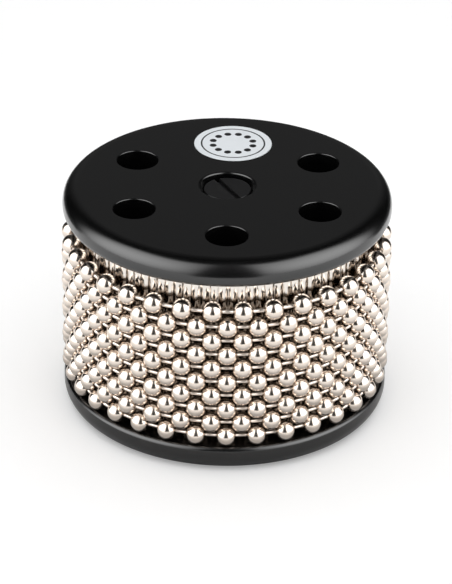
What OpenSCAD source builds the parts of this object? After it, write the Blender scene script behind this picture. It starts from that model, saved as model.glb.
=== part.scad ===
// Hand cabasa: two black discs clamped on a corrugated steel drum,
// with loops of ball chain that turn round the drum.
// +Z is up. The origin is the centre of the face that it stands on.

/* [Discs] */
// Diameter of both discs
disc_d = 88; // [85:0.5:92]
// Thickness of each disc at its rim
disc_t = 7.2; // [6.8:0.1:9]
// Radius round the edge of each outer face
face_round = 4.4; // [2:0.1:4.8]
// Radius round the edge of each inner face
inner_round = 2.2; // [0.8:0.1:2.6]
// Height of the step on each inner face that centres the drum
step_h = 1; // [0.8:0.1:3]

/* [Finger holes] */
// Diameter of each finger hole
hole_d = 11.2; // [8:0.1:12.5]
// Diameter of the circle that the finger holes lie on
hole_ring_d = 56.4; // [52:0.1:58]
// Bevel on the outer edge of each finger hole
hole_bevel = 0.3; // [0.2:0.05:1]

/* [Round label] */
// Diameter of the label
label_d = 21.2; // [16:0.1:23]
// Thickness of the label, which lies in a recess of its own depth
label_t = 0.3; // [0.1:0.05:0.6]
// Distance from the disc's centre to the label's centre
label_reach = 25.1; // [23:0.1:26]
// Direction of the label seen from above, in degrees from +X
label_turn = 87; // [80:1:100]

/* [Centre screw] */
// Diameter of the recess that each screw head lies in
recess_d = 15.1; // [14:0.1:17]
// Depth of each screw head's top below the disc's face
head_sink = 0.9; // [0.5:0.05:1.5]
// Diameter of each screw head
head_d = 12.6; // [11:0.1:13.5]
// Thickness of each screw head
head_h = 2.6; // [2:0.1:3]
// Bevel round the top of each screw head
head_bevel = 0.3; // [0.1:0.05:0.6]
// Width of the slot in each screw head
slot_w = 1.5; // [1:0.1:2.5]
// Depth of the slot in each screw head
slot_h = 1.2; // [0.6:0.1:1.8]
// Direction of the slot seen from above, in degrees from +X
slot_turn = 118; // [0:1:180]
// Diameter of the screw's shank
shank_d = 6; // [4:0.1:6.5]
// Length of the shank inside the barrel nut
shank_l = 24; // [12:1:40]
// Outside diameter of the barrel nut
barrel_d = 8; // [7.5:0.1:9]
// Free length between the end of the barrel nut and the upper screw head
take_up = 1.6; // [0.5:0.1:3]

/* [Drum] */
// Diameter over the ridges of the corrugated sleeve
sleeve_d = 77.6; // [76:0.1:78.2]
// Width of one flute, from ridge to ridge
flute_w = 2.46; // [2:0.02:4]
// Depth of the flutes
flute_h = 0.4; // [0.3:0.05:0.7]
// Thickness of the sleeve's sheet
sheet_t = 0.4; // [0.3:0.05:0.6]
// Thickness of the drum's wall behind the sleeve
drum_wall = 2.6; // [1.5:0.1:3]

/* [Ball chain] */
// Diameter of each ball
ball_d = 5.5; // [4.8:0.1:5.6]
// Thickness of each ball's shell
ball_wall = 0.35; // [0.2:0.05:0.5]
// Distance from ball to ball along the chain
ball_pitch = 8; // [7:0.1:10]
// Height from one loop to the next
row_pitch = 4.1; // [4.05:0.05:5]
// How much higher than its place in the stack the top loop rides
top_lift = 0.4; // [0:0.05:2]
// Diameter of each link's rod
link_d = 1; // [0.7:0.05:1.2]
// Diameter of the head at each end of a link
link_head_d = 1.9; // [1.7:0.05:2.2]
// Free height between the top loop and the top disc
free_h = 5.1; // [2:0.1:12]

/* [Clearances] */
// Gap between the balls and the ridges they turn on
run_gap = 0.2; // [0.1:0.05:0.5]
// Gap between the bottom loop and the bottom disc
rest_gap = 0.1; // [0.1:0.05:0.5]
// Gap between fixed pieces that slip into each other
fit_gap = 0.1; // [0.05:0.05:0.2]
// Gap round each link's rod in a ball's eye
eye_gap = 0.18; // [0.1:0.01:0.25]
// Gap between a link's head and the eye that holds it
head_gap = 0.12; // [0.08:0.01:0.15]

/* [Hidden] */
$fn = 96;
// how far each cut runs past the face that it opens
overrun = 1;

// places for finger holes on their circle, one of which the label takes
hole_places = 6;
label_place = 1;
loop_count = 10;
// turn of the bottom loop's first ball from the front, in degrees
front_turn = 0.8;
// points that draw one flute of the sleeve
points_per_flute = 6;

ball_r = ball_d / 2;
// circle through the ball centres of a loop, and the whole number of balls that fills it
loop_r = sleeve_d / 2 + run_gap + ball_r;
ball_count = round(180 / asin(ball_pitch / 2 / loop_r));
ball_turn = 360 / ball_count;
chord = 2 * loop_r * sin(ball_turn / 2);
eye_d = link_d + 2 * eye_gap;
inside_r = ball_r - ball_wall;
// distance from a ball's centre to the head of the link that it holds
head_reach = sqrt(pow(inside_r, 2) - pow(eye_d / 2, 2))
    - sqrt(pow(link_head_d / 2 + head_gap, 2) - pow(eye_d / 2, 2));

// height of a loop's ball centres
function loop_z(loop) =
    disc_t + rest_gap + ball_r + (loop - 1) * row_pitch + (loop == loop_count ? top_lift : 0);
gap_h = loop_z(loop_count) + ball_r + free_h - disc_t;
body_h = gap_h + 2 * disc_t;

valley_r = sleeve_d / 2 - flute_h;
flute_count = round(PI * sleeve_d / flute_w);
flute_steps = flute_count * points_per_flute;
sleeve_bore_r = valley_r - sheet_t;
drum_r = sleeve_bore_r - fit_gap;
drum_bore_r = drum_r - drum_wall;
step_r = drum_bore_r - fit_gap;

head_seat = head_sink + head_h;
bore_d = barrel_d + 2 * fit_gap;

BEADS = [for (n = [1:loop_count]) str("loop_", n < 10 ? "0" : "", n, "_balls")];
LINKS = [for (n = [1:loop_count]) str("loop_", n < 10 ? "0" : "", n, "_links")];

// What a round of radius r takes off a square corner at the origin
module corner_cut(r) {
    translate([-r, -r]) difference() {
        square(r + overrun);
        circle(r);
    }
}

// Half outline of a disc, outer face up: rounded rim, and the step below it
module disc_outline() {
    rim_r = disc_d / 2;
    difference() {
        union() {
            square([rim_r, disc_t]);
            translate([0, -step_h]) square([step_r, step_h + overrun]);
        }
        translate([rim_r, disc_t]) corner_cut(face_round);
        translate([rim_r, 0]) mirror([0, 1]) corner_cut(inner_round);
    }
}

// One place on the circle of finger holes, seen from above
module at_hole(n) {
    rotate(90 + (n - label_place) * 360 / hole_places) translate([hole_ring_d / 2, 0]) children();
}

module finger_hole() {
    translate([0, 0, -step_h - overrun]) cylinder(d = hole_d, h = step_h + disc_t + 2 * overrun);
    // the bevel's cone runs on past the face, so its wide end is as much wider
    translate([0, 0, disc_t - hole_bevel])
        cylinder(r1 = hole_d / 2, r2 = hole_d / 2 + hole_bevel + overrun, h = hole_bevel + overrun);
}

// A disc with its finger holes, and the stepped bore for the centre screw
module disc() {
    difference() {
        rotate_extrude() disc_outline();
        for (n = [1:hole_places]) if (n != label_place) at_hole(n) finger_hole();
        translate([0, 0, -step_h - overrun]) cylinder(d = bore_d, h = step_h + disc_t + 2 * overrun);
        translate([0, 0, disc_t - head_seat]) cylinder(d = recess_d, h = head_seat + overrun);
    }
}

module top_disc() {
    color([0.03, 0.03, 0.032])
    translate([0, 0, body_h - disc_t])
    difference() {
        disc();
        translate([0, 0, disc_t - label_t]) at_label() cylinder(d = label_d + 2 * fit_gap, h = label_t + overrun);
    }
}

module bottom_disc() {
    color([0.03, 0.03, 0.032])
    translate([0, 0, disc_t]) mirror([0, 0, 1]) disc();
}

module at_label() {
    rotate(label_turn) translate([label_reach, 0]) children();
}

module round_label() {
    color([0.9, 0.9, 0.89])
    translate([0, 0, body_h - label_t]) at_label() cylinder(d = label_d, h = label_t);
}

// A round slotted head that stands on the seat at z = 0
module slotted_head() {
    difference() {
        union() {
            cylinder(d = head_d, h = head_h - head_bevel);
            translate([0, 0, head_h - head_bevel])
                cylinder(r1 = head_d / 2, r2 = head_d / 2 - head_bevel, h = head_bevel);
        }
        rotate(slot_turn) translate([-head_d, -slot_w / 2, head_h - slot_h])
            cube([2 * head_d, slot_w, slot_h + overrun]);
    }
}

module centre_screw() {
    color([0.05, 0.05, 0.055])
    translate([0, 0, body_h - head_seat]) {
        slotted_head();
        translate([0, 0, -take_up - shank_l]) cylinder(d = shank_d, h = shank_l + take_up + head_h / 4);
    }
}

module barrel_nut() {
    bore = shank_d + 2 * fit_gap;
    barrel_l = body_h - 2 * head_seat - take_up;
    color([0.05, 0.05, 0.055])
    difference() {
        translate([0, 0, head_seat]) {
            mirror([0, 0, 1]) slotted_head();
            cylinder(d = barrel_d, h = barrel_l);
        }
        translate([0, 0, head_seat + barrel_l - shank_l - overrun])
            cylinder(d = bore, h = shank_l + 2 * overrun);
    }
}

// Plain tube between the discs, centred on their steps
module inner_drum() {
    color([0.1, 0.1, 0.1])
    translate([0, 0, disc_t])
    difference() {
        cylinder(r = drum_r, h = gap_h);
        translate([0, 0, -overrun]) cylinder(r = drum_bore_r, h = gap_h + 2 * overrun);
    }
}

// Radius of the sleeve's outside at point n: an even wave from ridge to valley
function wave_r(n) = sleeve_d / 2 - flute_h / 2 * (1 - cos(n * 360 / points_per_flute));

function wave_ring(inset) = [
    for (n = [0:flute_steps - 1])
        (wave_r(n) - inset) * [cos(n * 360 / flute_steps), sin(n * 360 / flute_steps)]
];

module corrugated_sleeve() {
    color([0.78, 0.77, 0.75])
    translate([0, 0, disc_t]) linear_extrude(gap_h) difference() {
        polygon(wave_ring(0));
        polygon(wave_ring(sheet_t));
    }
}

// Turn of ball n in a loop: each loop is half a ball's step from the one below
function ball_angle(loop, n) = front_turn - 90 + (n + (loop - 1) / 2) * ball_turn;

module in_loop(loop, n) {
    translate([0, 0, loop_z(loop)]) rotate(ball_angle(loop, n)) children();
}

// A hollow ball on +X with one eye towards each neighbour in the loop
module ball() {
    translate([loop_r, 0]) difference() {
        sphere(ball_r);
        sphere(inside_r);
        for (side = [-1, 1]) rotate(side * (90 + ball_turn / 2)) rotate([0, 90, 0])
            cylinder(d = eye_d, h = ball_d);
    }
}

// A rod with a head in each of two balls, lying along their chord
module link() {
    rod = chord - 2 * head_reach;
    rotate(ball_turn / 2) translate([loop_r * cos(ball_turn / 2), 0]) rotate([90, 0, 0]) {
        translate([0, 0, -rod / 2]) cylinder(d = link_d, h = rod);
        for (end = [-1, 1]) translate([0, 0, end * rod / 2]) sphere(d = link_head_d);
    }
}

module loop_balls(loop) {
    color([0.8, 0.78, 0.75]) for (n = [0:ball_count - 1]) in_loop(loop, n) ball();
}

module loop_links(loop) {
    color([0.72, 0.69, 0.65]) for (n = [0:ball_count - 1]) in_loop(loop, n) link();
}

top_disc();
bottom_disc();
round_label();
centre_screw();
barrel_nut();
inner_drum();
corrugated_sleeve();
for (n = [1:loop_count]) {
    loop_balls(n);
    loop_links(n);
}
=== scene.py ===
"""Looks of a hand cabasa: discs, fluted sleeve, ball chain loops, centre screw and a plain studio."""

import logging
import math
from dataclasses import dataclass
from enum import Enum
from typing import Callable, Iterable, Sequence

import bmesh
import bpy
import numpy as np
from mathutils import Matrix, Vector


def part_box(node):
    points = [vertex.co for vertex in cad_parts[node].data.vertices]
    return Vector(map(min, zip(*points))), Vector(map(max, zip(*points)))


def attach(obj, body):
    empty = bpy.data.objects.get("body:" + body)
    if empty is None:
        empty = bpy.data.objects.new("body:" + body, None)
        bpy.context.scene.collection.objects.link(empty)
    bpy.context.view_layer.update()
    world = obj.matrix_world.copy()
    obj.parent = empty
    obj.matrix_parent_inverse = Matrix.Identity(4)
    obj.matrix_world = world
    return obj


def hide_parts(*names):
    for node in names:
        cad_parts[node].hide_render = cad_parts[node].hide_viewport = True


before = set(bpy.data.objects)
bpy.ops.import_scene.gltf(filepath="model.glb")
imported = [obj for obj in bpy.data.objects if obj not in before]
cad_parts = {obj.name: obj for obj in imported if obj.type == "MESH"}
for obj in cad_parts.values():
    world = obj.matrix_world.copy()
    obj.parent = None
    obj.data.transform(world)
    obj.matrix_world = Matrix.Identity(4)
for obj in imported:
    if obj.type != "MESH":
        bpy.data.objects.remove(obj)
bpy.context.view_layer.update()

LOG = logging.getLogger("cabasa")
MM = 0.001
LOOPS = 10
# Edges that bend by more degrees than this shade sharp: on most pieces, and on fluted or small round ones.
CREASE = 35.0
ROUND_CREASE = 60.0
WHITE = (1.0, 1.0, 1.0, 1.0)
Ring = list[bmesh.types.BMVert]
Point = tuple[float, float]
Profile = Sequence[Point]
Curve = Sequence[Point]
Colour = tuple[float, float, float]
Socket = bpy.types.NodeSocket


def arc(centre: Point, radius: float, start: float, end: float, steps: int) -> list[Point]:
    """Points along an arc of a profile.

    Args:
        centre: Distance from the axis and height of the arc's centre.
        radius: The arc's radius.
        start: Direction of the first point in degrees, 0 away from the axis and 90 up.
        end: Direction of the last point in degrees.
        steps: Number of stretches between the points.

    Returns:
        Distance from the axis and height of each point.
    """
    turns = [math.radians(start + (end - start) * n / steps) for n in range(steps + 1)]
    return [(centre[0] + radius * math.cos(t), centre[1] + radius * math.sin(t)) for t in turns]


def settle(name: str, mesh: bmesh.types.BMesh) -> bpy.types.Mesh:
    """Turn a mesh in the making into mesh data.

    Args:
        name: Name of the data.
        mesh: The mesh in the making, which is freed.

    Returns:
        The mesh data.
    """
    data = bpy.data.meshes.new(name)
    mesh.to_mesh(data)
    mesh.free()
    return data


def put(name: str, data: bpy.types.Mesh) -> bpy.types.Object:
    """Put mesh data in the scene.

    Args:
        name: Name of the object.
        data: Its mesh.

    Returns:
        The new object.
    """
    made = bpy.data.objects.new(name, data)
    bpy.context.scene.collection.objects.link(made)
    return made


def smooth(data: bpy.types.Mesh, crease: float) -> None:
    """Shade a mesh smooth, and keep edges sharper than the crease, in degrees, sharp."""
    data.polygons.foreach_set("use_smooth", [True] * len(data.polygons))
    data.set_sharp_from_angle(angle=math.radians(crease))


class Shell:
    """A mesh in the making: rings of points, joined by walls and plates."""

    def __init__(self) -> None:
        """Start with no points."""
        self.mesh = bmesh.new()

    def ring(self, points: Iterable[Vector]) -> Ring:
        """Add the points of one ring.

        Args:
            points: The ring's points in order.

        Returns:
            The ring's vertices in the same order.
        """
        return [self.mesh.verts.new(point) for point in points]

    def wall(self, one: Ring, other: Ring) -> None:
        """Join two rings, either of which may be a single point.

        Args:
            one: The first ring.
            other: The ring beside it.
        """
        count = max(len(one), len(other))
        for n in range(count):
            after = (n + 1) % count
            near = [one[n % len(one)], one[after % len(one)]]
            far = [other[after % len(other)], other[n % len(other)]]
            self.mesh.faces.new(list(dict.fromkeys(near + far)))

    def turn(self, profile: Profile, steps: int, place: Matrix = Matrix.Identity(4)) -> list[Ring]:
        """Turn a profile about Z into a round wall.

        Args:
            profile: Distance from the axis and height of each point.
            steps: Number of points round each ring.
            place: Where the wall goes.

        Returns:
            One ring for each point of the profile.
        """
        rings = []
        for radius, height in profile:
            count = steps if radius > 0 else 1
            turns = [2 * math.pi * n / steps for n in range(count)]
            rings.append(self.ring(
                place @ Vector((radius * math.cos(t), radius * math.sin(t), height)) for t in turns))
        for one, other in zip(rings, rings[1:]):
            self.wall(one, other)
        return rings

    def plate(self, *rings: Ring) -> None:
        """Fill the flat face that lies between an outer ring and the rings inside it.

        Args:
            rings: The outer ring and each inner one.
        """
        edges = []
        for ring in rings:
            for one, other in zip(ring, ring[1:] + ring[:1]):
                edges.append(self.mesh.edges.get((one, other)) or self.mesh.edges.new((one, other)))
        bmesh.ops.triangle_fill(self.mesh, use_beauty=True, use_dissolve=False, edges=edges)

    def close(self, ring: Ring) -> None:
        """Close a ring with one flat face."""
        self.mesh.faces.new(ring)

    def data(self, name: str) -> bpy.types.Mesh:
        """Turn what was drawn into mesh data.

        Args:
            name: Name of the mesh.

        Returns:
            The mesh, with its faces pointing outward.
        """
        bmesh.ops.recalc_face_normals(self.mesh, faces=self.mesh.faces)
        return settle(name, self.mesh)


def make_piece(name: str, data: bpy.types.Mesh, crease: float = CREASE) -> bpy.types.Object:
    """Put mesh data in the scene as a smooth piece with creased edges.

    Args:
        name: Name of the piece.
        data: Its mesh.
        crease: Edges sharper than this many degrees stay sharp.

    Returns:
        The new object.
    """
    smooth(data, crease)
    return put(name, data)


def repeat(data: bpy.types.Mesh, places: Sequence[Matrix]) -> bpy.types.Mesh:
    """Copy a mesh to many places and join the copies.

    Args:
        data: The mesh to copy.
        places: One matrix for each copy.

    Returns:
        The joined mesh.
    """
    points = np.array([v.co for v in data.vertices])
    faces = [list(p.vertices) for p in data.polygons]
    all_points = []
    all_faces = []
    for number, place in enumerate(places):
        matrix = np.array(place)
        all_points.append(points @ matrix[:3, :3].T + matrix[:3, 3])
        all_faces.extend([[v + number * len(points) for v in face] for face in faces])
    joined = bpy.data.meshes.new(data.name)
    joined.from_pydata(np.concatenate(all_points).tolist(), [], all_faces)
    bpy.data.meshes.remove(data)
    return joined


class Graph:
    """The shader nodes of one material or of the world."""

    def __init__(self, owner: bpy.types.Material | bpy.types.World) -> None:
        """Start the owner's nodes from nothing."""
        owner.use_nodes = True
        self.tree = owner.node_tree
        self.tree.nodes.clear()

    def feed(self, socket: Socket, value: object) -> None:
        """Give an input its value.

        Args:
            socket: The input.
            value: A value, or another node's socket to link.
        """
        if isinstance(value, Socket):
            self.tree.links.new(value, socket)
        else:
            socket.default_value = value

    def add(self, kind: str, settings: dict[str, object] | None = None, **inputs: object) -> bpy.types.Node:
        """Add a node.

        Args:
            kind: The node's type without the ShaderNode before it.
            settings: Values of the node's own properties.
            inputs: A value or another node's socket for each input, with _ for each space.

        Returns:
            The new node.
        """
        node = self.tree.nodes.new("ShaderNode" + kind)
        for key, value in (settings or {}).items():
            setattr(node, key, value)
        for key, value in inputs.items():
            self.feed(node.inputs[key.replace("_", " ")], value)
        return node

    def math(self, operation: str, *values: object) -> Socket:
        """Work out one number.

        Args:
            operation: Name of the sum.
            values: A number or a socket for each term.

        Returns:
            The socket with the result.
        """
        node = self.add("Math", {"operation": operation})
        for socket, value in zip(node.inputs, values):
            self.feed(socket, value)
        return node.outputs[0]

    def hypot(self, across: Socket, along: Socket) -> Socket:
        """Distance of a point from where both of its coordinates are 0."""
        squares = [self.math("MULTIPLY", side, side) for side in (across, along)]
        return self.math("SQRT", self.math("ADD", *squares))

    def noise(self, place: Socket, size: float, detail: float) -> Socket:
        """Soft noise from 0 to 1, with patches of about the given size in metres."""
        return self.add("TexNoise", Vector=place, Scale=1 / size, Detail=detail).outputs["Fac"]

    def spread(self, value: Socket, start: float, end: float, low: float = 0.0, high: float = 1.0) -> Socket:
        """Spread one range of a value over another, level beyond both ends.

        Args:
            value: Socket with the value.
            start: Value at which the result is low.
            end: Value at which the result is high.
            low: Result at the start.
            high: Result at the end.

        Returns:
            The socket with the result.
        """
        node = self.add("MapRange", Value=value, From_Min=start, From_Max=end, To_Min=low, To_Max=high)
        return node.outputs[0]

    def curve(self, value: Socket, points: Curve) -> Socket:
        """Read a smooth curve.

        Args:
            value: Socket with the value to look up.
            points: Value and result at each point of the curve, from the value 0 to the last one.

        Returns:
            The socket with the result.
        """
        node = self.add("FloatCurve")
        line = node.mapping.curves[0].points
        last = points[-1][0]
        top = max(result for _, result in points)
        for _ in points[2:]:
            line.new(0.5, 0.5)
        for spot, (at, result) in zip(line, points):
            spot.location = (at / last, result / top)
            spot.handle_type = "AUTO_CLAMPED"
        node.mapping.update()
        self.feed(node.inputs["Value"], self.math("DIVIDE", value, last))
        return self.math("MULTIPLY", node.outputs[0], top)

    def blend(self, share: Socket, low: Colour | Socket, high: Colour | Socket) -> Socket:
        """Mix two colours.

        Args:
            share: Socket with the second colour's share.
            low: The first colour, or a socket with it.
            high: The second colour, or a socket with it.

        Returns:
            The socket with the mixed colour.
        """
        # The node has inputs of each data type. Inputs 6 and 7 and output 2 are the colours.
        node = self.add("Mix", {"data_type": "RGBA"})
        self.feed(node.inputs[0], share)
        for socket, colour in zip(node.inputs[6:8], (low, high)):
            self.feed(socket, colour if isinstance(colour, Socket) else (*colour, 1.0))
        return node.outputs[2]

    def rays(self, *kinds: str) -> Socket:
        """Pick out some kinds of rays.

        Args:
            kinds: Names of Light Path's outputs.

        Returns:
            The socket that is 1 for rays of these kinds and 0 for all others.
        """
        outputs = self.add("LightPath").outputs
        picked = outputs[kinds[0]]
        for kind in kinds[1:]:
            picked = self.math("MAXIMUM", picked, outputs[kind])
        return picked

    def show(self, shader: bpy.types.Node, output: str = "OutputMaterial") -> None:
        """Lead a shader to the output."""
        self.feed(self.add(output).inputs["Surface"], shader.outputs[0])


@dataclass(frozen=True)
class Finish:
    """A surface finish with fine grain and soft patches."""

    name: str
    colour: Colour
    patch_colour: Colour
    metallic: float = 0.0
    roughness: float = 0.4
    patch_roughness: float = 0.5
    grain_roughness: float = 0.02
    grain_size: float = 0.2 * MM
    grain_detail: float = 4.0
    patch_size: float = 12 * MM
    patch_detail: float = 3.0
    bump_height: float = 0.004 * MM
    stretch: tuple[float, float, float] = (1.0, 1.0, 1.0)
    ior: float = 1.5

    def material(self) -> bpy.types.Material:
        """Build the material.

        Returns:
            The material with its node tree.
        """
        made = bpy.data.materials.new(self.name)
        graph = Graph(made)
        place = graph.add("TexCoord").outputs["Object"]
        stretched = graph.add("Mapping", Vector=place, Scale=self.stretch).outputs[0]
        patches = graph.noise(place, self.patch_size, self.patch_detail)
        grain = graph.noise(stretched, self.grain_size, self.grain_detail)
        broad = graph.spread(patches, 0.0, 1.0, self.roughness, self.patch_roughness)
        fine = graph.spread(grain, 0.0, 1.0, -self.grain_roughness, self.grain_roughness)
        relief = graph.add("Bump", Height=grain, Distance=self.bump_height, Strength=1.0)
        graph.show(graph.add("BsdfPrincipled", Metallic=self.metallic, IOR=self.ior, Normal=relief.outputs[0],
                             Base_Color=self.paint(graph, place, patches),
                             Roughness=graph.math("ADD", broad, fine)))
        return made

    def paint(self, graph: Graph, place: Socket, patches: Socket) -> Socket:
        """Mix the two colours by the patches."""
        return graph.blend(patches, self.colour, self.patch_colour)


@dataclass(frozen=True)
class PrintedFilm(Finish):
    """White film with a plain printed ring and a circle of dots round its middle."""

    centre: Point = (0.0, 0.0)
    ring_radius: float = 8.6 * MM
    ring_width: float = 0.45 * MM
    dots: int = 12
    dot_reach: float = 5.6 * MM
    dot_radius: float = 0.95 * MM
    ink: Colour = (0.012, 0.012, 0.013)

    def paint(self, graph: Graph, place: Socket, patches: Socket) -> Socket:
        """Print the ring and the dots on the film's colour.

        Args:
            graph: The material's nodes.
            place: Socket with the point on the piece, in metres.
            patches: Socket with the broad noise.

        Returns:
            The socket with the colour.
        """
        split = graph.add("SeparateXYZ", Vector=place)
        across = graph.math("SUBTRACT", split.outputs["X"], self.centre[0])
        along = graph.math("SUBTRACT", split.outputs["Y"], self.centre[1])
        reach = graph.hypot(across, along)
        step = 2 * math.pi / self.dots
        turn = graph.math("FRACT", graph.math("DIVIDE", graph.math("ARCTAN2", along, across), step))
        off_turn = graph.math("MULTIPLY", graph.math("SUBTRACT", turn, 0.5), step)
        side = graph.math("MULTIPLY", graph.math("SINE", off_turn), reach)
        out = graph.math("MULTIPLY", graph.math("COSINE", off_turn), reach)
        from_dot = graph.hypot(side, graph.math("SUBTRACT", out, self.dot_reach))
        dot = graph.math("LESS_THAN", from_dot, self.dot_radius)
        from_ring = graph.math("ABSOLUTE", graph.math("SUBTRACT", reach, self.ring_radius))
        ring = graph.math("LESS_THAN", from_ring, self.ring_width / 2)
        plain = super().paint(graph, place, patches)
        return graph.blend(graph.math("MAXIMUM", dot, ring), plain, self.ink)


@dataclass(frozen=True)
class ShadedSheet(Finish):
    """Bright rolled sheet with painted shade: a dark colour over its lower part, where the chains run in
    front of it.
    """

    # Painted shade: its dark colour, the height up to which it lies in full, and the height over which it
    # fades out.
    shade_colour: Colour = (0.15, 0.12, 0.095)
    shade_top: float = 48.6 * MM
    shade_fade: float = 1.6 * MM

    def paint(self, graph: Graph, place: Socket, patches: Socket) -> Socket:
        """Lay the painted shade, a dark colour, over the sheet's lower part.

        Args:
            graph: The material's nodes.
            place: Socket with the point on the piece, in metres.
            patches: Socket with the broad noise.

        Returns:
            The socket with the colour.
        """
        # Painted shade: the dark colour below, fading into the sheet's own colour above.
        unshaded = super().paint(graph, place, patches)
        height = graph.add("SeparateXYZ", Vector=place).outputs["Z"]
        share = graph.spread(height, self.shade_top, self.shade_top + self.shade_fade)
        return graph.blend(share, self.shade_colour, unshaded)


def wear(piece: bpy.types.Object, finish: Finish) -> None:
    """Give a piece its finish.

    Args:
        piece: The piece to dress.
        finish: What its surface is like.
    """
    material = bpy.data.materials.get(finish.name) or finish.material()
    piece.data.materials.clear()
    piece.data.materials.append(material)


FILM_WHITE: Colour = (0.73, 0.765, 0.79)
SATIN_BLACK = Finish("satin_black", (0.0015, 0.0015, 0.0016), (0.002, 0.002, 0.0021), roughness=0.19,
                     patch_roughness=0.22, grain_size=0.12 * MM, bump_height=0.0008 * MM, ior=1.6)
MOULDED_BLACK = Finish("moulded_black", (0.008, 0.008, 0.008), (0.012, 0.012, 0.012), roughness=0.5,
                       patch_roughness=0.6, grain_size=0.3 * MM)
BLACK_STEEL = Finish("black_steel", (0.012, 0.012, 0.0125), (0.018, 0.018, 0.0185), metallic=0.5,
                     roughness=0.3, patch_roughness=0.38, grain_size=0.1 * MM, bump_height=0.002 * MM)
BRIGHT_NICKEL = Finish("bright_nickel", (0.66, 0.585, 0.52), (0.635, 0.56, 0.495), metallic=1.0,
                       roughness=0.15, patch_roughness=0.2, grain_size=0.4 * MM, patch_size=3 * MM,
                       bump_height=0.0004 * MM)
DRAWN_NICKEL = Finish("drawn_nickel", (0.6, 0.535, 0.48), (0.55, 0.485, 0.43), metallic=1.0, roughness=0.3,
                      patch_roughness=0.36, grain_size=0.3 * MM, patch_size=3 * MM, bump_height=0.002 * MM)
# The sleeve's sheet, with painted shade over its lower part where the chains run in front of it.
ROLLED_STEEL = ShadedSheet("rolled_steel", (0.67, 0.63, 0.585), (0.635, 0.59, 0.545), metallic=1.0,
                         roughness=0.1, patch_roughness=0.16, grain_size=0.3 * MM,
                         bump_height=0.001 * MM, stretch=(1, 1, 0.04))


class Face(Enum):
    """Which of the two discs a piece belongs to, by the way that its outer face points."""

    UP = 1
    DOWN = -1

    def place(self, low: Vector, high: Vector) -> Matrix:
        """Find a piece's outer face.

        Args:
            low: Lowest corner of the piece's box.
            high: Highest corner of the box.

        Returns:
            Matrix from a frame with the outer face at height 0 and the piece below it.
        """
        outside = high.z if self is Face.UP else low.z
        return Matrix.Translation((0, 0, outside)) @ Matrix.Diagonal((1, 1, self.value, 1))


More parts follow.
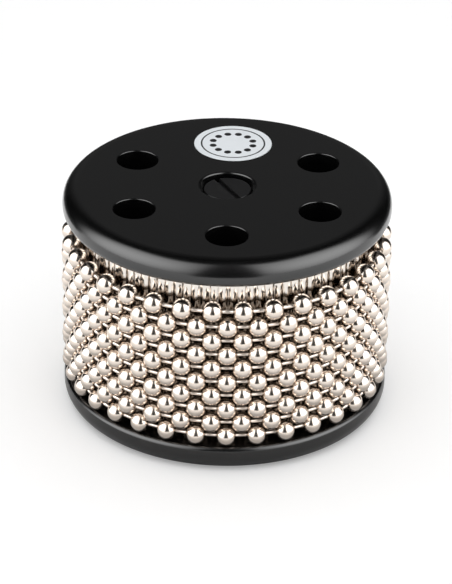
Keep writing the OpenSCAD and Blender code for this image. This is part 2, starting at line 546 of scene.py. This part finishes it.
@dataclass
class Disc:
    """One black disc: rounded rim, five finger holes, a centre recess, and on top the label's recess.

    Beside each rounded edge lies a narrow flat ring, the margin, so that the flat faces shade flat.
    """

    face: Face
    node: str
    face_round: float = 4.4 * MM
    inner_round: float = 2.2 * MM
    step_h: float = 1.0 * MM
    step_r: float = 35.2 * MM
    hole_r: float = 5.6 * MM
    hole_reach: float = 28.2 * MM
    hole_round: float = 0.3 * MM
    recess_r: float = 7.55 * MM
    recess_round: float = 0.5 * MM
    seat_depth: float = 3.5 * MM
    bore_r: float = 4.1 * MM
    edge_round: float = 0.2 * MM
    margin: float = 0.12 * MM
    label_r: float = 10.7 * MM
    label_reach: float = 25.1 * MM
    label_turn: float = 87.0
    label_depth: float = 0.3 * MM
    label_edge: float = 0.075 * MM
    rim_steps: int = 288
    hole_steps: int = 72
    face_round_steps: int = 20
    inner_round_steps: int = 12
    lip_steps: int = 6
    seat_steps: int = 4
    edge_steps: int = 3
    hole_turns: tuple[float, ...] = (150.0, 210.0, 270.0, 330.0, 30.0)

    def build(self) -> bpy.types.Object:
        """Build the disc as one closed shell and let it stand for its node.

        Returns:
            The disc.
        """
        low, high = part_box(self.node)
        rim_r = high.x
        thick = high.z - low.z - self.step_h
        place = self.face.place(low, high)
        shell = Shell()
        rim = shell.turn(self.rim_profile(rim_r, thick), self.rim_steps, place)
        outer, inner = [rim[0]], [rim[-1]]
        for turn in self.hole_turns:
            spot = place @ self.at(turn, self.hole_reach)
            hole = shell.turn(self.hole_profile(thick), self.hole_steps, spot)
            outer.append(hole[0])
            inner.append(hole[-1])
        recess = shell.turn(self.recess_profile(thick), self.hole_steps, place)
        outer.append(recess[0])
        inner.append(recess[-1])
        if self.face is Face.UP:
            spot = place @ self.at(self.label_turn, self.label_reach)
            label = shell.turn(self.label_profile(), self.hole_steps, spot)
            outer.append(label[0])
            shell.close(label[-1])
        shell.plate(*outer)
        shell.plate(*inner)
        disc = make_piece(self.node + "_body", shell.data(self.node + "_body"))
        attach(disc, "drum")
        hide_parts(self.node)
        wear(disc, SATIN_BLACK)
        return disc

    def at(self, turn: float, reach: float) -> Matrix:
        """Place on the disc, by its direction in degrees and its distance from the centre."""
        angle = math.radians(turn)
        return Matrix.Translation((reach * math.cos(angle), reach * math.sin(angle), 0))

    def rim_profile(self, rim_r: float, thick: float) -> list[Point]:
        """Profile from the outer face, over the rim, to the step on the inner face.

        Args:
            rim_r: The disc's radius.
            thick: Its thickness at the rim.

        Returns:
            The profile's points, with the outer face at height 0.
        """
        face, back = self.face_round, self.inner_round
        points = [(rim_r - face - self.margin, 0.0)]
        points += arc((rim_r - face, -face), face, 90, 0, self.face_round_steps)
        points += arc((rim_r - back, back - thick), back, 0, -90, self.inner_round_steps)
        points += [(rim_r - back - self.margin, -thick), (self.step_r + self.margin, -thick)]
        edge, floor = self.edge_round, -thick - self.step_h
        points += [(self.step_r, -thick), (self.step_r, floor + edge)]
        points += arc((self.step_r - edge, floor + edge), edge, 0, -90, self.edge_steps)[1:]
        points += [(self.step_r - edge - self.margin, floor)]
        return points

    def hole_profile(self, thick: float) -> list[Point]:
        """Profile of a finger hole's wall.

        Args:
            thick: The disc's thickness at the rim.

        Returns:
            The profile's points from the outer face to the inner one.
        """
        wide, edge, floor = self.hole_r + self.hole_round, self.edge_round, -thick - self.step_h
        points = [(wide + self.margin, 0.0)]
        points += arc((wide, -self.hole_round), self.hole_round, 90, 180, self.lip_steps)
        points += arc((self.hole_r + edge, floor + edge), edge, 180, 270, self.edge_steps)
        points += [(self.hole_r + edge + self.margin, floor)]
        return points

    def recess_profile(self, thick: float) -> list[Point]:
        """Profile of the centre recess and the bore below it.

        Args:
            thick: The disc's thickness at the rim.

        Returns:
            The profile's points from the outer face to the inner one.
        """
        edge, wide = self.edge_round, self.recess_r + self.recess_round
        points = [(wide + self.margin, 0.0)]
        points += arc((wide, -self.recess_round), self.recess_round, 90, 180, self.lip_steps)
        points += arc((self.recess_r - edge, edge - self.seat_depth), edge, 0, -90, self.seat_steps)
        points += [(self.bore_r, -self.seat_depth), (self.bore_r, -thick - self.step_h)]
        return points

    def label_profile(self) -> list[Point]:
        """Profile of the shallow recess for the label.

        Returns:
            The profile's points from the outer face to the recess's floor.
        """
        edge = self.label_edge
        points = [(self.label_r + edge + self.margin, 0.0)]
        points += arc((self.label_r + edge, -edge), edge, 90, 180, self.edge_steps)
        points += [(self.label_r, -self.label_depth)]
        return points


@dataclass
class Label:
    """The round white label with a plain printed pattern, sunk flush in the upper disc."""

    node: str = "round_label"
    edge_round: float = 0.1 * MM
    edge_steps: int = 4
    margin: float = 0.2 * MM
    steps: int = 96

    def build(self) -> bpy.types.Object:
        """Build the label and let it stand for its node.

        Returns:
            The label.
        """
        low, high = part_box(self.node)
        middle = (low + high) / 2
        radius, thick, edge = (high.x - low.x) / 2, high.z - low.z, self.edge_round
        profile = [(0.0, 0.0), (radius - edge - self.margin, 0.0)]
        profile += arc((radius - edge, -edge), edge, 90, 0, self.edge_steps)
        profile += [(radius, -thick), (0.0, -thick)]
        shell = Shell()
        shell.turn(profile, self.steps, Matrix.Translation((middle.x, middle.y, high.z)))
        label = make_piece("label_film", shell.data("label_film"))
        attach(label, "drum")
        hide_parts(self.node)
        film = PrintedFilm("printed_film", FILM_WHITE, FILM_WHITE, roughness=0.35, patch_roughness=0.4,
                           grain_size=0.2 * MM, bump_height=0.001 * MM, centre=(middle.x, middle.y))
        wear(label, film)
        return label


@dataclass
class Fastener:
    """The centre screw from above and the barrel nut from below, each with a slotted round head."""

    node: str
    face: Face
    stem_r: float
    head_h: float = 2.6 * MM
    head_round: float = 0.3 * MM
    head_round_steps: int = 5
    margin: float = 0.3 * MM
    slot_w: float = 1.5 * MM
    slot_h: float = 1.2 * MM
    slot_turn: float = 118.0
    slot_round: float = 0.1 * MM
    slot_round_steps: int = 2
    slot_edge: float = 50.0
    steps: int = 96

    def build(self) -> bpy.types.Object:
        """Build the fastener, cut its slot and let it stand for its node.

        Returns:
            The fastener.
        """
        low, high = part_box(self.node)
        radius, length = high.x, high.z - low.z
        place = self.face.place(low, high)
        edge = self.head_round
        profile = [(0.0, 0.0), (radius / 2, 0.0), (radius - edge - self.margin, 0.0)]
        profile += arc((radius - edge, -edge), edge, 90, 0, self.head_round_steps)
        profile += [(radius, -self.head_h), (self.stem_r, -self.head_h)]
        profile += [(self.stem_r, -length), (0.0, -length)]
        shell = Shell()
        shell.turn(profile, self.steps, place)
        piece = make_piece(self.node + "_body", shell.data(self.node + "_body"))
        self.cut_slot(piece, radius, place)
        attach(piece, "drum")
        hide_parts(self.node)
        wear(piece, BLACK_STEEL)
        return piece

    def cut_slot(self, piece: bpy.types.Object, radius: float, place: Matrix) -> None:
        """Cut the slot across the head and round its edges.

        Args:
            piece: The fastener.
            radius: The head's radius.
            place: Matrix from the head's own frame, whose top is at height 0.
        """
        # The cutter stands half above the head's top and runs past the head at both ends.
        box = bmesh.new()
        size = Matrix.Diagonal((4 * radius, self.slot_w, 2 * self.slot_h, 1))
        turned = Matrix.Rotation(math.radians(self.slot_turn), 4, "Z")
        bmesh.ops.create_cube(box, size=1, matrix=place @ turned @ size)
        bmesh.ops.recalc_face_normals(box, faces=box.faces)
        cutter = put("slot_cutter", settle("slot_cutter", box))
        cut = piece.modifiers.new("slot", "BOOLEAN")
        cut.operation, cut.object, cut.solver = "DIFFERENCE", cutter, "EXACT"
        bevel = piece.modifiers.new("edges", "BEVEL")
        bevel.width, bevel.segments = self.slot_round, self.slot_round_steps
        bevel.limit_method, bevel.angle_limit = "ANGLE", math.radians(self.slot_edge)
        self.apply_modifiers(piece)
        bpy.data.objects.remove(cutter)

    @staticmethod
    def apply_modifiers(piece: bpy.types.Object) -> None:
        """Replace a piece's mesh by what its modifiers make of it.

        Args:
            piece: The piece.
        """
        evaluated = piece.evaluated_get(bpy.context.evaluated_depsgraph_get())
        made = bpy.data.meshes.new_from_object(evaluated)
        piece.modifiers.clear()
        piece.data = made
        smooth(made, CREASE)


@dataclass
class Sleeve:
    """The thin bright sheet with upright flutes that lies round the drum."""

    node: str = "corrugated_sleeve"
    flute_w: float = 2.46 * MM
    flute_h: float = 0.4 * MM
    sheet_t: float = 0.4 * MM
    points_per_flute: int = 20

    def build(self) -> bpy.types.Object:
        """Build the sheet and let it stand for its node.

        Returns:
            The sleeve.
        """
        low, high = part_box(self.node)
        crest_r = high.x
        flutes = round(2 * math.pi * crest_r / self.flute_w)
        shell = Shell()
        inside_r = crest_r - self.sheet_t
        corners = ((crest_r, high.z), (crest_r, low.z), (inside_r, low.z), (inside_r, high.z))
        rings = [self.outline(shell, radius, flutes, height) for radius, height in corners]
        for one, other in zip(rings, rings[1:] + rings[:1]):
            shell.wall(one, other)
        sleeve = make_piece("fluted_sheet", shell.data("fluted_sheet"), crease=ROUND_CREASE)
        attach(sleeve, "drum")
        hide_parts(self.node)
        wear(sleeve, ROLLED_STEEL)
        return sleeve

    def outline(self, shell: Shell, crest_r: float, flutes: int, height: float) -> Ring:
        """Add one ring along the flutes.

        Args:
            shell: The mesh in the making.
            crest_r: Radius over the ridges.
            flutes: Number of flutes.
            height: The ring's height.

        Returns:
            The ring's vertices.
        """
        points = []
        count = flutes * self.points_per_flute
        for n in range(count):
            turn = 2 * math.pi * n / count
            radius = crest_r - self.flute_h * (1 - abs(math.cos(turn * flutes / 2)))
            points.append(Vector((radius * math.cos(turn), radius * math.sin(turn), height)))
        return shell.ring(points)


@dataclass
class ChainLoop:
    """One closed loop of ball chain: hollow balls with an eye on two sides, held together by short links.

    lip_shares place the middle of an eye's lip, outward and down, as shares of the lip. lean_rate tells how
    fast, over the ball's radius, each half of a ball comes to its full lean toward its neighbour.
    """

    number: int
    balls: int = 33
    ball_wall: float = 0.35 * MM
    run_gap: float = 0.2 * MM
    front_turn: float = 0.8
    eye_r: float = 0.68 * MM
    lip: float = 0.12 * MM
    lip_shares: Point = (0.3, 0.1)
    lean_rate: float = 1.2
    link_r: float = 0.5 * MM
    link_head_r: float = 0.95 * MM
    head_gap: float = 0.12 * MM
    round_steps: int = 28
    outside_steps: int = 18
    inside_steps: int = 6
    link_steps: int = 14
    head_steps: int = 5

    def name(self, part: str) -> str:
        """Name of this loop's node of balls or of links."""
        return f"loop_{self.number:02d}_{part}"

    def build(self) -> list[bpy.types.Object]:
        """Build the loop's balls and links and let them stand for their nodes.

        Returns:
            The balls as one piece and the links as another.
        """
        low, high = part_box(self.name("balls"))
        ball_r = (high.z - low.z) / 2
        height = (high.z + low.z) / 2
        loop_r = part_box("corrugated_sleeve")[1].x + self.run_gap + ball_r
        step = 2 * math.pi / self.balls
        first = math.radians(self.front_turn - 90) + step * (self.number - 1) / 2
        between_r = loop_r * math.cos(step / 2)
        made = []
        for part, slot, data, radius, offset, finish in (
                ("balls", "ball", self.ball(ball_r, step), loop_r, 0.0, BRIGHT_NICKEL),
                ("links", "link", self.link(ball_r, loop_r, step), between_r, 0.5, DRAWN_NICKEL)):
            places = []
            for n in range(self.balls):
                turned = Matrix.Rotation(first + step * (n + offset), 4, "Z")
                places.append(turned @ Matrix.Translation((radius, 0, height)))
            piece = make_piece("chain_" + self.name(part), repeat(data, places), crease=ROUND_CREASE)
            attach(piece, f"loop_{self.number:02d}")
            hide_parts(self.name(part))
            wear(piece, finish)
            made.append(piece)
        return made

    def ball(self, ball_r: float, step: float) -> bpy.types.Mesh:
        """Build one hollow ball at the origin, with its eyes along Y and leaning a little inward.

        Args:
            ball_r: The ball's radius.
            step: Turn from ball to ball in radians.

        Returns:
            The ball's mesh.
        """
        inside_r = ball_r - self.ball_wall
        lip_r = self.eye_r + self.lip
        start = math.degrees(math.acos(lip_r / ball_r))
        end = math.degrees(math.acos(self.eye_r / inside_r))
        lip_z = math.sqrt(ball_r ** 2 - lip_r ** 2)
        out, down = (share * self.lip for share in self.lip_shares)
        lips = [(self.eye_r + out, lip_z - down), (self.eye_r, lip_z - self.lip)]
        outside = arc((0, 0), ball_r, start, -start, self.outside_steps)
        inside = arc((0, 0), inside_r, -end, end, self.inside_steps)
        profile = outside + [(r, -z) for r, z in lips] + inside + lips[::-1]
        shell = Shell()
        rings = shell.turn(profile, self.round_steps)
        shell.wall(rings[-1], rings[0])
        for vertex in shell.mesh.verts:
            x, y, z = vertex.co
            share = min(1.0, abs(z) / ball_r * self.lean_rate)
            lean = step / 2 * share * share * (1 if z > 0 else -1)
            vertex.co = Matrix.Rotation(lean, 3, "Z") @ Vector((x, z, -y))
        return shell.data("ball")

    def link(self, ball_r: float, loop_r: float, step: float) -> bpy.types.Mesh:
        """Build one link at the origin along Y: a rod with a round head at each end.

        Args:
            ball_r: The balls' radius.
            loop_r: Radius of the loop through the balls' centres.
            step: Turn from ball to ball in radians.

        Returns:
            The link's mesh.
        """
        inside_r = ball_r - self.ball_wall
        seat = math.sqrt(inside_r ** 2 - self.eye_r ** 2)
        head = math.sqrt((self.link_head_r + self.head_gap) ** 2 - self.eye_r ** 2)
        half = loop_r * math.sin(step / 2) - (seat - head)
        meet = math.degrees(math.acos(self.link_r / self.link_head_r))
        top = arc((0, half), self.link_head_r, 90, -meet, self.head_steps)
        top[0] = (0.0, half + self.link_head_r)
        shell = Shell()
        shell.turn(top + [(r, -z) for r, z in top[::-1]], self.link_steps)
        shell.mesh.transform(Matrix.Rotation(math.radians(-90), 4, "X"))
        return shell.data("link")


@dataclass
class Camera:
    """A camera at the photograph's angle and distance."""

    elevation: float = 29.38
    roll: float = 0.887
    distance: float = 857.3 * MM
    aim_height: float = 29.47 * MM
    lens: float = 194.7
    shift: Point = (0.0002, 0.0019)
    clip: Point = (0.01, 50.0)

    def build(self) -> bpy.types.Object:
        """Make the camera and hand it to the scene.

        Returns:
            The camera.
        """
        tilt, roll = math.radians(self.elevation), math.radians(self.roll)
        back = Vector((0, -math.cos(tilt), math.sin(tilt)))
        side = Vector((1, 0, 0))
        rise = back.cross(side)
        right = math.cos(roll) * side + math.sin(roll) * rise
        rise = back.cross(right)
        data = bpy.data.cameras.new("camera")
        data.lens = self.lens
        data.shift_x, data.shift_y = self.shift
        data.clip_start, data.clip_end = self.clip
        camera = bpy.data.objects.new("camera", data)
        turned = Matrix((right, rise, back)).transposed().to_4x4()
        place = Vector((0, 0, self.aim_height)) + back * self.distance
        camera.matrix_world = Matrix.Translation(place) @ turned
        bpy.context.scene.collection.objects.link(camera)
        bpy.context.scene.camera = camera
        return camera


class Seen(Enum):
    """Which rays meet a sheet: those of shiny surfaces or those of matt ones."""

    SHINY = (True, False)
    MATT = (False, True)


def make_sheet(name: str, mesh: bmesh.types.BMesh, glow: float | Callable[[Graph], Socket],
               seen: Seen) -> bpy.types.Object:
    """Put a glowing or dark sheet on the stage, out of the camera's sight.

    Args:
        name: Name of the sheet.
        mesh: Its mesh in the making.
        glow: Strength of its light, or what works it out from the sheet's nodes.
        seen: Which rays meet it.

    Returns:
        The sheet.
    """
    sheet = put(name, settle(name, mesh))
    material = bpy.data.materials.new(name)
    graph = Graph(material)
    graph.show(graph.add("Emission", Color=WHITE, Strength=glow(graph) if callable(glow) else glow))
    sheet.data.materials.append(material)
    sheet.visible_camera = False
    sheet.visible_shadow = False
    sheet.visible_glossy, sheet.visible_diffuse = seen.value
    return sheet


@dataclass(frozen=True)
class Panel:
    """A flat light that faces the drum, placed by its direction from the front and its distance."""

    name: str
    azimuth: float
    elevation: float
    distance: float
    width: float
    height: float
    glow: float
    seen: Seen = Seen.SHINY

    def build(self) -> bpy.types.Object:
        """Make the panel.

        Returns:
            The panel.
        """
        turn, tilt = math.radians(self.azimuth), math.radians(self.elevation)
        out = Vector((math.sin(turn) * math.cos(tilt), -math.cos(turn) * math.cos(tilt), math.sin(tilt)))
        side = Vector((math.cos(turn), math.sin(turn), 0))
        faced = Matrix((side, out.cross(side), out)).transposed().to_4x4()
        size = Matrix.Diagonal((self.width / 2, self.height / 2, 1, 1))
        place = Matrix.Translation(out * self.distance) @ faced @ size
        mesh = bmesh.new()
        bmesh.ops.create_grid(mesh, x_segments=1, y_segments=1, size=1, matrix=place)
        return make_sheet(self.name, mesh, self.glow, self.seen)


@dataclass
class Dome:
    """A round tent: a broad soft box on each side, a dark gap between them, and dim behind and above.

    around and upward give the boxes' share of the glow by direction from the front and by height, both in
    degrees. behind gives the light at the back by height, and gap the dark gap's half width by height.
    """

    radius: float = 0.75
    segments: int = 48
    glow: float = 4.9
    around: Curve = ((0, 0.34), (17, 0.38), (24, 0.53), (30, 0.68), (40, 0.84), (52, 0.93), (70, 0.98),
                     (84, 0.95), (94, 0.78), (101, 0.58), (107, 0.27), (112, 0.08), (118, 0.0), (180, 0.0))
    upward: Curve = ((0, 0.5), (5, 0.57), (11, 0.68), (18, 0.81), (28, 0.95), (38, 1.0), (46, 0.98),
                     (54, 0.88), (61, 0.78), (66, 0.7), (71, 0.45), (76, 0.12), (81, 0.0), (120, 0.0))
    lean: float = 0.1
    behind: Curve = ((0, 0.04), (10, 0.075), (20, 0.115), (27, 0.135), (31.5, 0.13), (35.5, 0.125), (40, 0.1),
                     (55, 0.08), (68, 0.04), (76, 0.0), (90, 0.0))
    behind_from: float = 138.0
    behind_full: float = 162.0
    gap: Curve = ((0, 22.0), (15, 19.5), (29, 17.0), (43, 13.5), (58, 9.5), (72, 6.0), (90, 4.0))
    gap_turn: float = 1.5
    gap_edge: float = 1.2
    gap_glow: float = 0.06

    def build(self) -> bpy.types.Object:
        """Make the dome.

        Returns:
            The dome.
        """
        mesh = bmesh.new()
        bmesh.ops.create_uvsphere(
            mesh, u_segments=self.segments, v_segments=self.segments // 2, radius=self.radius)
        below = [vertex for vertex in mesh.verts if vertex.co.z < -MM]
        bmesh.ops.delete(mesh, geom=below, context="VERTS")
        return make_sheet("light_dome", mesh, self.level, Seen.SHINY)

    def level(self, graph: Graph) -> Socket:
        """Work out how bright a point of the dome is.

        Args:
            graph: The nodes of the dome's material.

        Returns:
            The socket with the strength of its light.
        """
        toward = graph.add("VectorMath", {"operation": "NORMALIZE"})
        graph.feed(toward.inputs[0], graph.add("TexCoord").outputs["Object"])
        right, rearward, up = graph.add("SeparateXYZ", Vector=toward.outputs[0]).outputs
        forward = graph.math("MULTIPLY", rearward, -1.0)
        turn = graph.math("DEGREES", graph.math("ARCTAN2", graph.math("ABSOLUTE", right), forward))
        rise = graph.math("DEGREES", graph.math("ARCSINE", up))
        across = graph.math("DEGREES", graph.math("ARCSINE", right))
        aside = graph.math("ABSOLUTE", graph.math("SUBTRACT", across, self.gap_turn))
        leant = graph.math("ADD", rise, graph.math("MULTIPLY", turn, self.lean))
        shape = graph.math("MULTIPLY", graph.curve(turn, self.around), graph.curve(leant, self.upward))
        boxes = graph.math("MULTIPLY", shape, self.glow)
        back = graph.spread(turn, self.behind_from, self.behind_full)
        rear = graph.math("MULTIPLY", back, graph.curve(rise, self.behind))
        over = graph.math("SUBTRACT", aside, graph.curve(rise, self.gap))
        clear = graph.spread(over, -self.gap_edge, self.gap_edge)
        in_gap = graph.math("SUBTRACT", 1.0, clear)
        before = graph.math("SUBTRACT", 1.0, back)
        lit = graph.math("MULTIPLY", boxes, clear)
        dark = graph.math("MULTIPLY", in_gap, graph.math("MULTIPLY", before, self.gap_glow))
        return graph.math("ADD", graph.math("ADD", lit, dark), rear)


@dataclass(frozen=True)
class DarkSheet:
    """A dark piece of a ring on the far floor, for reflections alone.

    Its ends are directions from the front in degrees, and near and far are distances from the drum's axis.
    """

    name: str
    first: float
    last: float
    near: float
    far: float = 0.74
    step: float = 3.0
    lift: float = 1 * MM
    glow: float = 0.1

    def build(self) -> bpy.types.Object:
        """Lay the sheet.

        Returns:
            The sheet.
        """
        mesh = bmesh.new()
        steps = round((self.last - self.first) / self.step)
        pairs = []
        for n in range(steps + 1):
            turn = math.radians(self.first + (self.last - self.first) * n / steps)
            out = Vector((math.sin(turn), -math.cos(turn), 0))
            lift = Vector((0, 0, self.lift))
            pairs.append([mesh.verts.new(out * reach + lift) for reach in (self.near, self.far)])
        for one, other in zip(pairs, pairs[1:]):
            mesh.faces.new((one[0], one[1], other[1], other[0]))
        return make_sheet(self.name, mesh, self.glow, Seen.SHINY)


@dataclass
class Studio:
    """Pale floor, white surroundings for the camera, soft light from above, a dome and two dark sheets.

    floor_shine gives the floor's light in reflections by the distance from the drum's axis, in mm. To the
    camera the floor turns white between pale_from and pale_full, in metres from the axis.
    """

    floor_size: float = 3.0
    floor_colour: Colour = (0.72, 0.72, 0.72)
    floor_glow: float = 0.33
    floor_shine: Curve = ((0, 0.0), (50, 0.0), (65, 0.2), (90, 0.5), (170, 0.75), (260, 0.95), (1000, 0.95))
    pale_from: float = 0.3
    pale_full: float = 1.4
    horizon_rise: float = 0.3
    horizon_glow: float = 0.6
    sky_glow: float = 0.01
    lights: tuple[Panel | Dome | DarkSheet, ...] = (
        Panel("soft_light", azimuth=0, elevation=88, distance=0.9, width=1.6, height=1.6, glow=1.95,
              seen=Seen.MATT),
        Dome(),
        DarkSheet("dark_front", first=-21, last=21, near=0.26),
        DarkSheet("dark_rear", first=108, last=252, near=0.22),
    )

    def build(self) -> None:
        """Make the floor, the surroundings, the lights and the dark sheets."""
        self.floor()
        self.surroundings()
        for light in self.lights:
            light.build()

    def floor(self) -> bpy.types.Object:
        """Make the floor, white to the camera where no shadow falls, with a shine of its own for reflections.

        Returns:
            The floor.
        """
        mesh = bmesh.new()
        bmesh.ops.create_grid(mesh, x_segments=1, y_segments=1, size=self.floor_size / 2)
        floor = put("floor", settle("floor", mesh))
        material = bpy.data.materials.new("pale_floor")
        graph = Graph(material)
        length = graph.add("VectorMath", {"operation": "LENGTH"})
        graph.feed(length.inputs[0], graph.add("TexCoord").outputs["Object"])
        reach = length.outputs["Value"]
        paler = graph.spread(reach, self.pale_from, self.pale_full, self.floor_glow, 1.0)
        seen = graph.math("MULTIPLY", graph.rays("Is Camera Ray", "Is Transmission Ray"), paler)
        shine = graph.curve(graph.math("DIVIDE", reach, MM), self.floor_shine)
        mirrored = graph.math("MULTIPLY", graph.rays("Is Glossy Ray"), shine)
        matt = graph.add("BsdfDiffuse", Color=(*self.floor_colour, 1.0))
        glow = graph.add("Emission", Color=WHITE, Strength=graph.math("ADD", seen, mirrored))
        both = graph.add("AddShader")
        for socket, shader in zip(both.inputs, (matt, glow)):
            graph.feed(socket, shader.outputs[0])
        graph.show(both)
        floor.data.materials.append(material)
        return floor

    def surroundings(self) -> None:
        """Make the world white to the camera and reflections, and to other rays dim with a pale horizon."""
        world = bpy.data.worlds.new("surroundings")
        bpy.context.scene.world = world
        graph = Graph(world)
        up = graph.add("SeparateXYZ", Vector=graph.add("TexCoord").outputs["Generated"]).outputs["Z"]
        dim = graph.spread(up, 0.0, self.horizon_rise, self.horizon_glow, self.sky_glow)
        seen = graph.rays("Is Camera Ray", "Is Transmission Ray", "Is Glossy Ray")
        sky = graph.add("Background", Color=WHITE, Strength=graph.math("MAXIMUM", seen, dim))
        graph.show(sky, "OutputWorld")


def main() -> None:
    """Build the studio and every piece of the cabasa."""
    logging.basicConfig(level=logging.INFO, format="%(message)s")
    bpy.context.scene.view_settings.view_transform = "Standard"
    Camera().build()
    Studio().build()
    made = [
        Disc(Face.UP, "top_disc").build(),
        Disc(Face.DOWN, "bottom_disc", inner_round=1.2 * MM).build(),
        Label().build(),
        Fastener("centre_screw", Face.UP, stem_r=3 * MM).build(),
        Fastener("barrel_nut", Face.DOWN, stem_r=4 * MM).build(),
        Sleeve().build(),
    ]
    wear(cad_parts["inner_drum"], MOULDED_BLACK)
    for number in range(1, LOOPS + 1):
        made += ChainLoop(number).build()
    for piece in made:
        LOG.info("%s: %d faces", piece.name, len(piece.data.polygons))


if __name__ == "__main__":
    main()
